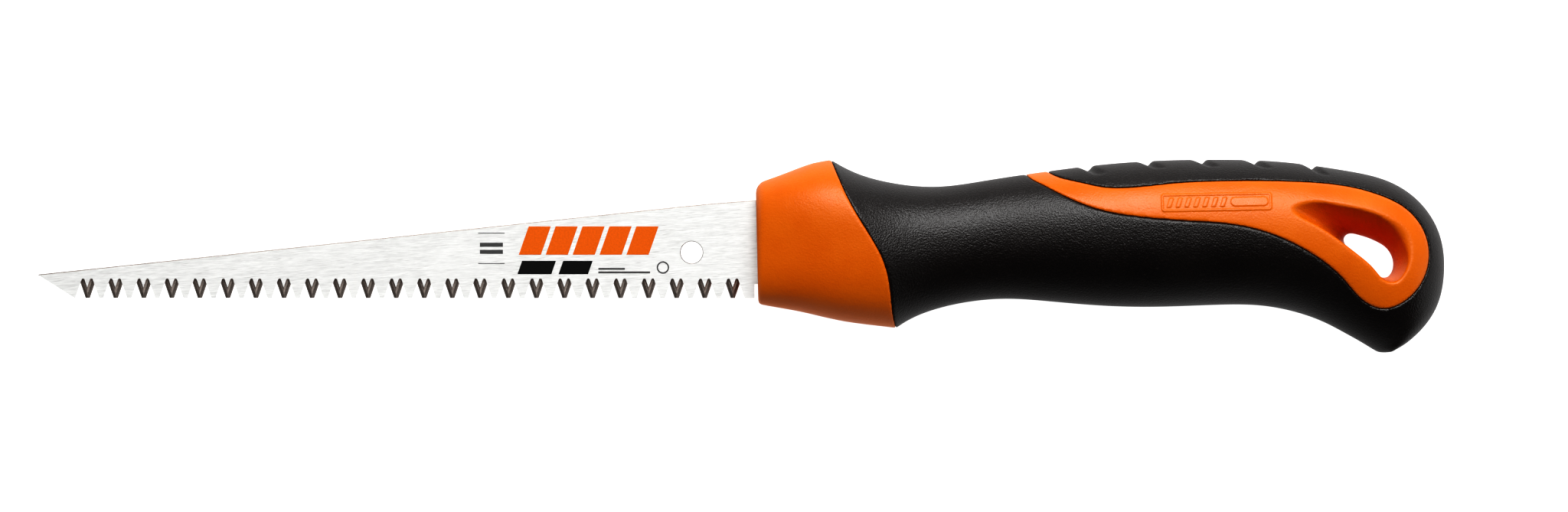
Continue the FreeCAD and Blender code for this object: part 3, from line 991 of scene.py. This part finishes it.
def make_floor():
    """A pale glowing floor that shows pure white, and that the saw doesn't mirror."""
    mesh = bpy.data.meshes.new("floor")
    work = bmesh.new()
    bmesh.ops.create_grid(work, x_segments=1, y_segments=1, size=FLOOR_HALF)
    work.to_mesh(mesh)
    work.free()
    floor = bpy.data.objects.new("floor", mesh)
    bpy.context.scene.collection.objects.link(floor)
    look = Look("pale_floor", Roughness=FLOOR_ROUGHNESS, Specular_IOR_Level=0.0,
                Emission_Strength=FLOOR_GLOW, Emission_Color=(1, 1, 1, 1))
    look.feed(Base_Color=look.mix(look.noise(**FLOOR_CLOUDS), *FLOOR_COLOURS))
    mesh.materials.append(look.material)
    floor.visible_glossy = False


def make_world():
    """A dim room, dark overhead and bright below the horizon, most of all towards the back and butt."""
    world = bpy.data.worlds.new("studio")
    world.use_nodes = True
    room = Nodes(world.node_tree)
    backdrop = room.tree.nodes["Background"]
    backdrop.inputs["Color"].default_value = (1, 1, 1, 1)
    ways = room.node("ShaderNodeSeparateXYZ", {0: room.node("ShaderNodeTexCoord").outputs["Generated"]})
    side = room.math("MULTIPLY_ADD", ways.outputs["Y"], ROOM_TO_BACK, ROOM_LOW)
    side = room.math("MULTIPLY_ADD", ways.outputs["X"], ROOM_TO_BUTT, side)
    down = room.spread(ways.outputs["Z"], 1, 0, HORIZON)
    above = room.math("MULTIPLY_ADD", down, -ROOM_HIGH, ROOM_HIGH)
    room.tree.links.new(room.math("MULTIPLY_ADD", side, down, above), backdrop.inputs["Strength"])
    bpy.context.scene.world = world


def make_light():
    """The room and four panels. The overhead one lights the saw without a mirror image in it."""
    scene = bpy.context.scene
    scene.view_settings.view_transform = "Standard"
    scene.view_settings.look = CONTRAST
    make_world()
    panel("key", *KEY_PANEL)
    panel("end", *END_PANEL)
    panel("low_fill", *FILL_PANEL)
    overhead = panel("overhead", *OVERHEAD_PANEL)
    overhead.visible_glossy = False


def make_camera():
    """Straight above the blade, so that the picture is the saw's side view."""
    scene = bpy.context.scene
    data = bpy.data.cameras.new("camera")
    data.sensor_width = SENSOR_MM
    data.lens = data.sensor_width * CAMERA_HEIGHT / IMAGE_WIDTH_AT_BLADE
    camera = bpy.data.objects.new("camera", data)
    camera.location = (*CAMERA_AIM, MID_PLANE + CAMERA_HEIGHT)
    scene.collection.objects.link(camera)
    scene.camera = camera


def make_handle():
    """The two mouldings, in place of their CAD nodes."""
    grid, core_field, grip_field, whole_handle = handle_fields()
    core = moulding("core_moulding", core_field, whole_handle, grid)
    raise_mark(core)
    core.data.materials.append(moulded_plastic())
    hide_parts("handle_core")
    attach(core, "root")
    grip = moulding("grip_moulding", grip_field, whole_handle, grid)
    grip.data.materials.append(soft_rubber())
    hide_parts("soft_grip")
    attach(grip, "root")


def dress_blade():
    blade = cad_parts["blade"]
    blade.data.materials.clear()
    blade.data.materials.append(brushed_steel())


make_handle()
dress_blade()
print_marks()
make_floor()
make_light()
make_camera()
